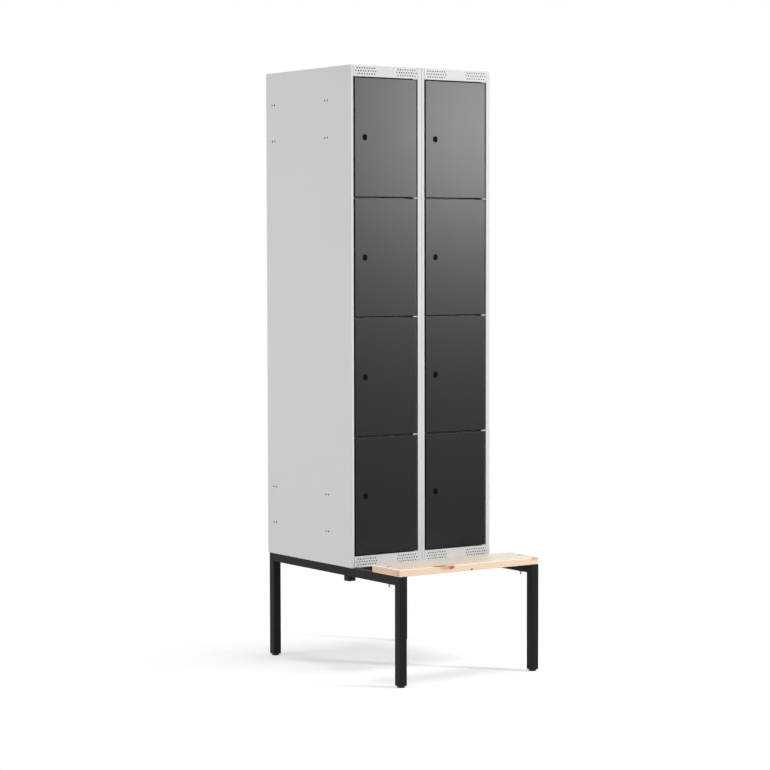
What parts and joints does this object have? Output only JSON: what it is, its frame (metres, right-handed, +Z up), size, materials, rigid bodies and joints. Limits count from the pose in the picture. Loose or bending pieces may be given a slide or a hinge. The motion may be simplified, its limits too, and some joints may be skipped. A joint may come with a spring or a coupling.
{
  "type": "locker with bench",
  "caption": "Steel locker of two columns of stacked hinged doors with cam locks, on a square-tube stand that reaches forward to carry a wooden bench plank.",
  "frame": {"origin": "on the floor, under the middle of the whole object's box, between the bench's front edge and the locker's back", "axes": "+X along the front from left to right as the doors are faced, +Y from the bench to the back, +Z up"},
  "size_m": [0.5996, 0.838, 2.1183],
  "materials": {
    "light_grey_paint": "light grey powder coat, satin, very fine grain",
    "black_door_paint": "black powder coat, satin",
    "black_tube_paint": "black powder coat, satin, over square steel tube",
    "black_lock": "matt black coated lock barrel and nut",
    "zinc_steel": "bright zinc-plated steel",
    "black_plastic": "moulded black plastic",
    "pine": "planed pine with a clear satin lacquer"
  },
  "bodies": {
    "carcass": {"left_left_side": "light_grey_paint", "left_right_side": "light_grey_paint", "left_back": "light_grey_paint", "left_roof": "light_grey_paint", "left_base": "light_grey_paint", "left_top_fascia": "light_grey_paint", "left_bottom_fascia": "light_grey_paint", "left_shelf_1": "light_grey_paint", "left_shelf_2": "light_grey_paint", "left_shelf_3": "light_grey_paint", "right_left_side": "light_grey_paint", "right_right_side": "light_grey_paint", "right_back": "light_grey_paint", "right_roof": "light_grey_paint", "right_base": "light_grey_paint", "right_top_fascia": "light_grey_paint", "right_bottom_fascia": "light_grey_paint", "right_shelf_1": "light_grey_paint", "right_shelf_2": "light_grey_paint", "right_shelf_3": "light_grey_paint", "left_side_frame": "black_tube_paint", "left_front_foot_glide": "black_plastic", "left_rear_foot_glide": "black_plastic", "right_side_frame": "black_tube_paint", "right_front_foot_glide": "black_plastic", "right_rear_foot_glide": "black_plastic", "front_cross_rail": "black_tube_paint", "rear_cross_rail": "black_tube_paint", "bench_plank": "pine", "left_bench_bolt": "zinc_steel", "right_bench_bolt": "zinc_steel", "left_front_module_bolt": "zinc_steel", "left_rear_module_bolt": "zinc_steel", "right_front_module_bolt": "zinc_steel", "right_rear_module_bolt": "zinc_steel"},
    "left_door_body_1": {"left_door_1": "black_door_paint", "left_lock_housing_1": "black_lock"},
    "left_cam_body_1": {"left_lock_cam_1": "zinc_steel"},
    "left_door_body_2": {"left_door_2": "black_door_paint", "left_lock_housing_2": "black_lock"},
    "left_cam_body_2": {"left_lock_cam_2": "zinc_steel"},
    "left_door_body_3": {"left_door_3": "black_door_paint", "left_lock_housing_3": "black_lock"},
    "left_cam_body_3": {"left_lock_cam_3": "zinc_steel"},
    "left_door_body_4": {"left_door_4": "black_door_paint", "left_lock_housing_4": "black_lock"},
    "left_cam_body_4": {"left_lock_cam_4": "zinc_steel"},
    "right_door_body_1": {"right_door_1": "black_door_paint", "right_lock_housing_1": "black_lock"},
    "right_cam_body_1": {"right_lock_cam_1": "zinc_steel"},
    "right_door_body_2": {"right_door_2": "black_door_paint", "right_lock_housing_2": "black_lock"},
    "right_cam_body_2": {"right_lock_cam_2": "zinc_steel"},
    "right_door_body_3": {"right_door_3": "black_door_paint", "right_lock_housing_3": "black_lock"},
    "right_cam_body_3": {"right_lock_cam_3": "zinc_steel"},
    "right_door_body_4": {"right_door_4": "black_door_paint", "right_lock_housing_4": "black_lock"},
    "right_cam_body_4": {"right_lock_cam_4": "zinc_steel"}
  },
  "joints": [
    {"name": "left_door_hinge_1", "type": "hinge", "parent": "carcass", "child": "left_door_body_1", "pos_m": [-0.03, -0.123, 1.8708], "axis": [0, 0, 1], "range_deg": [0, 110]},
    {"name": "left_lock_turn_1", "type": "hinge", "parent": "left_door_body_1", "child": "left_cam_body_1", "pos_m": [-0.241, -0.119, 1.8708], "axis": [0, 1, 0], "range_deg": [0, 90]},
    {"name": "left_door_hinge_2", "type": "hinge", "parent": "carcass", "child": "left_door_body_2", "pos_m": [-0.03, -0.123, 1.4558], "axis": [0, 0, 1], "range_deg": [0, 110]},
    {"name": "left_lock_turn_2", "type": "hinge", "parent": "left_door_body_2", "child": "left_cam_body_2", "pos_m": [-0.241, -0.119, 1.4558], "axis": [0, 1, 0], "range_deg": [0, 90]},
    {"name": "left_door_hinge_3", "type": "hinge", "parent": "carcass", "child": "left_door_body_3", "pos_m": [-0.03, -0.123, 1.0408], "axis": [0, 0, 1], "range_deg": [0, 110]},
    {"name": "left_lock_turn_3", "type": "hinge", "parent": "left_door_body_3", "child": "left_cam_body_3", "pos_m": [-0.241, -0.119, 1.0408], "axis": [0, 1, 0], "range_deg": [0, 90]},
    {"name": "left_door_hinge_4", "type": "hinge", "parent": "carcass", "child": "left_door_body_4", "pos_m": [-0.03, -0.123, 0.6258], "axis": [0, 0, 1], "range_deg": [0, 110]},
    {"name": "left_lock_turn_4", "type": "hinge", "parent": "left_door_body_4", "child": "left_cam_body_4", "pos_m": [-0.241, -0.119, 0.6258], "axis": [0, 1, 0], "range_deg": [0, 90]},
    {"name": "right_door_hinge_1", "type": "hinge", "parent": "carcass", "child": "right_door_body_1", "pos_m": [0.27, -0.123, 1.8708], "axis": [0, 0, 1], "range_deg": [0, 110]},
    {"name": "right_lock_turn_1", "type": "hinge", "parent": "right_door_body_1", "child": "right_cam_body_1", "pos_m": [0.059, -0.119, 1.8708], "axis": [0, 1, 0], "range_deg": [0, 90]},
    {"name": "right_door_hinge_2", "type": "hinge", "parent": "carcass", "child": "right_door_body_2", "pos_m": [0.27, -0.123, 1.4558], "axis": [0, 0, 1], "range_deg": [0, 110]},
    {"name": "right_lock_turn_2", "type": "hinge", "parent": "right_door_body_2", "child": "right_cam_body_2", "pos_m": [0.059, -0.119, 1.4558], "axis": [0, 1, 0], "range_deg": [0, 90]},
    {"name": "right_door_hinge_3", "type": "hinge", "parent": "carcass", "child": "right_door_body_3", "pos_m": [0.27, -0.123, 1.0408], "axis": [0, 0, 1], "range_deg": [0, 110]},
    {"name": "right_lock_turn_3", "type": "hinge", "parent": "right_door_body_3", "child": "right_cam_body_3", "pos_m": [0.059, -0.119, 1.0408], "axis": [0, 1, 0], "range_deg": [0, 90]},
    {"name": "right_door_hinge_4", "type": "hinge", "parent": "carcass", "child": "right_door_body_4", "pos_m": [0.27, -0.123, 0.6258], "axis": [0, 0, 1], "range_deg": [0, 110]},
    {"name": "right_lock_turn_4", "type": "hinge", "parent": "right_door_body_4", "child": "right_cam_body_4", "pos_m": [0.059, -0.119, 0.6258], "axis": [0, 1, 0], "range_deg": [0, 90]}
  ]
}
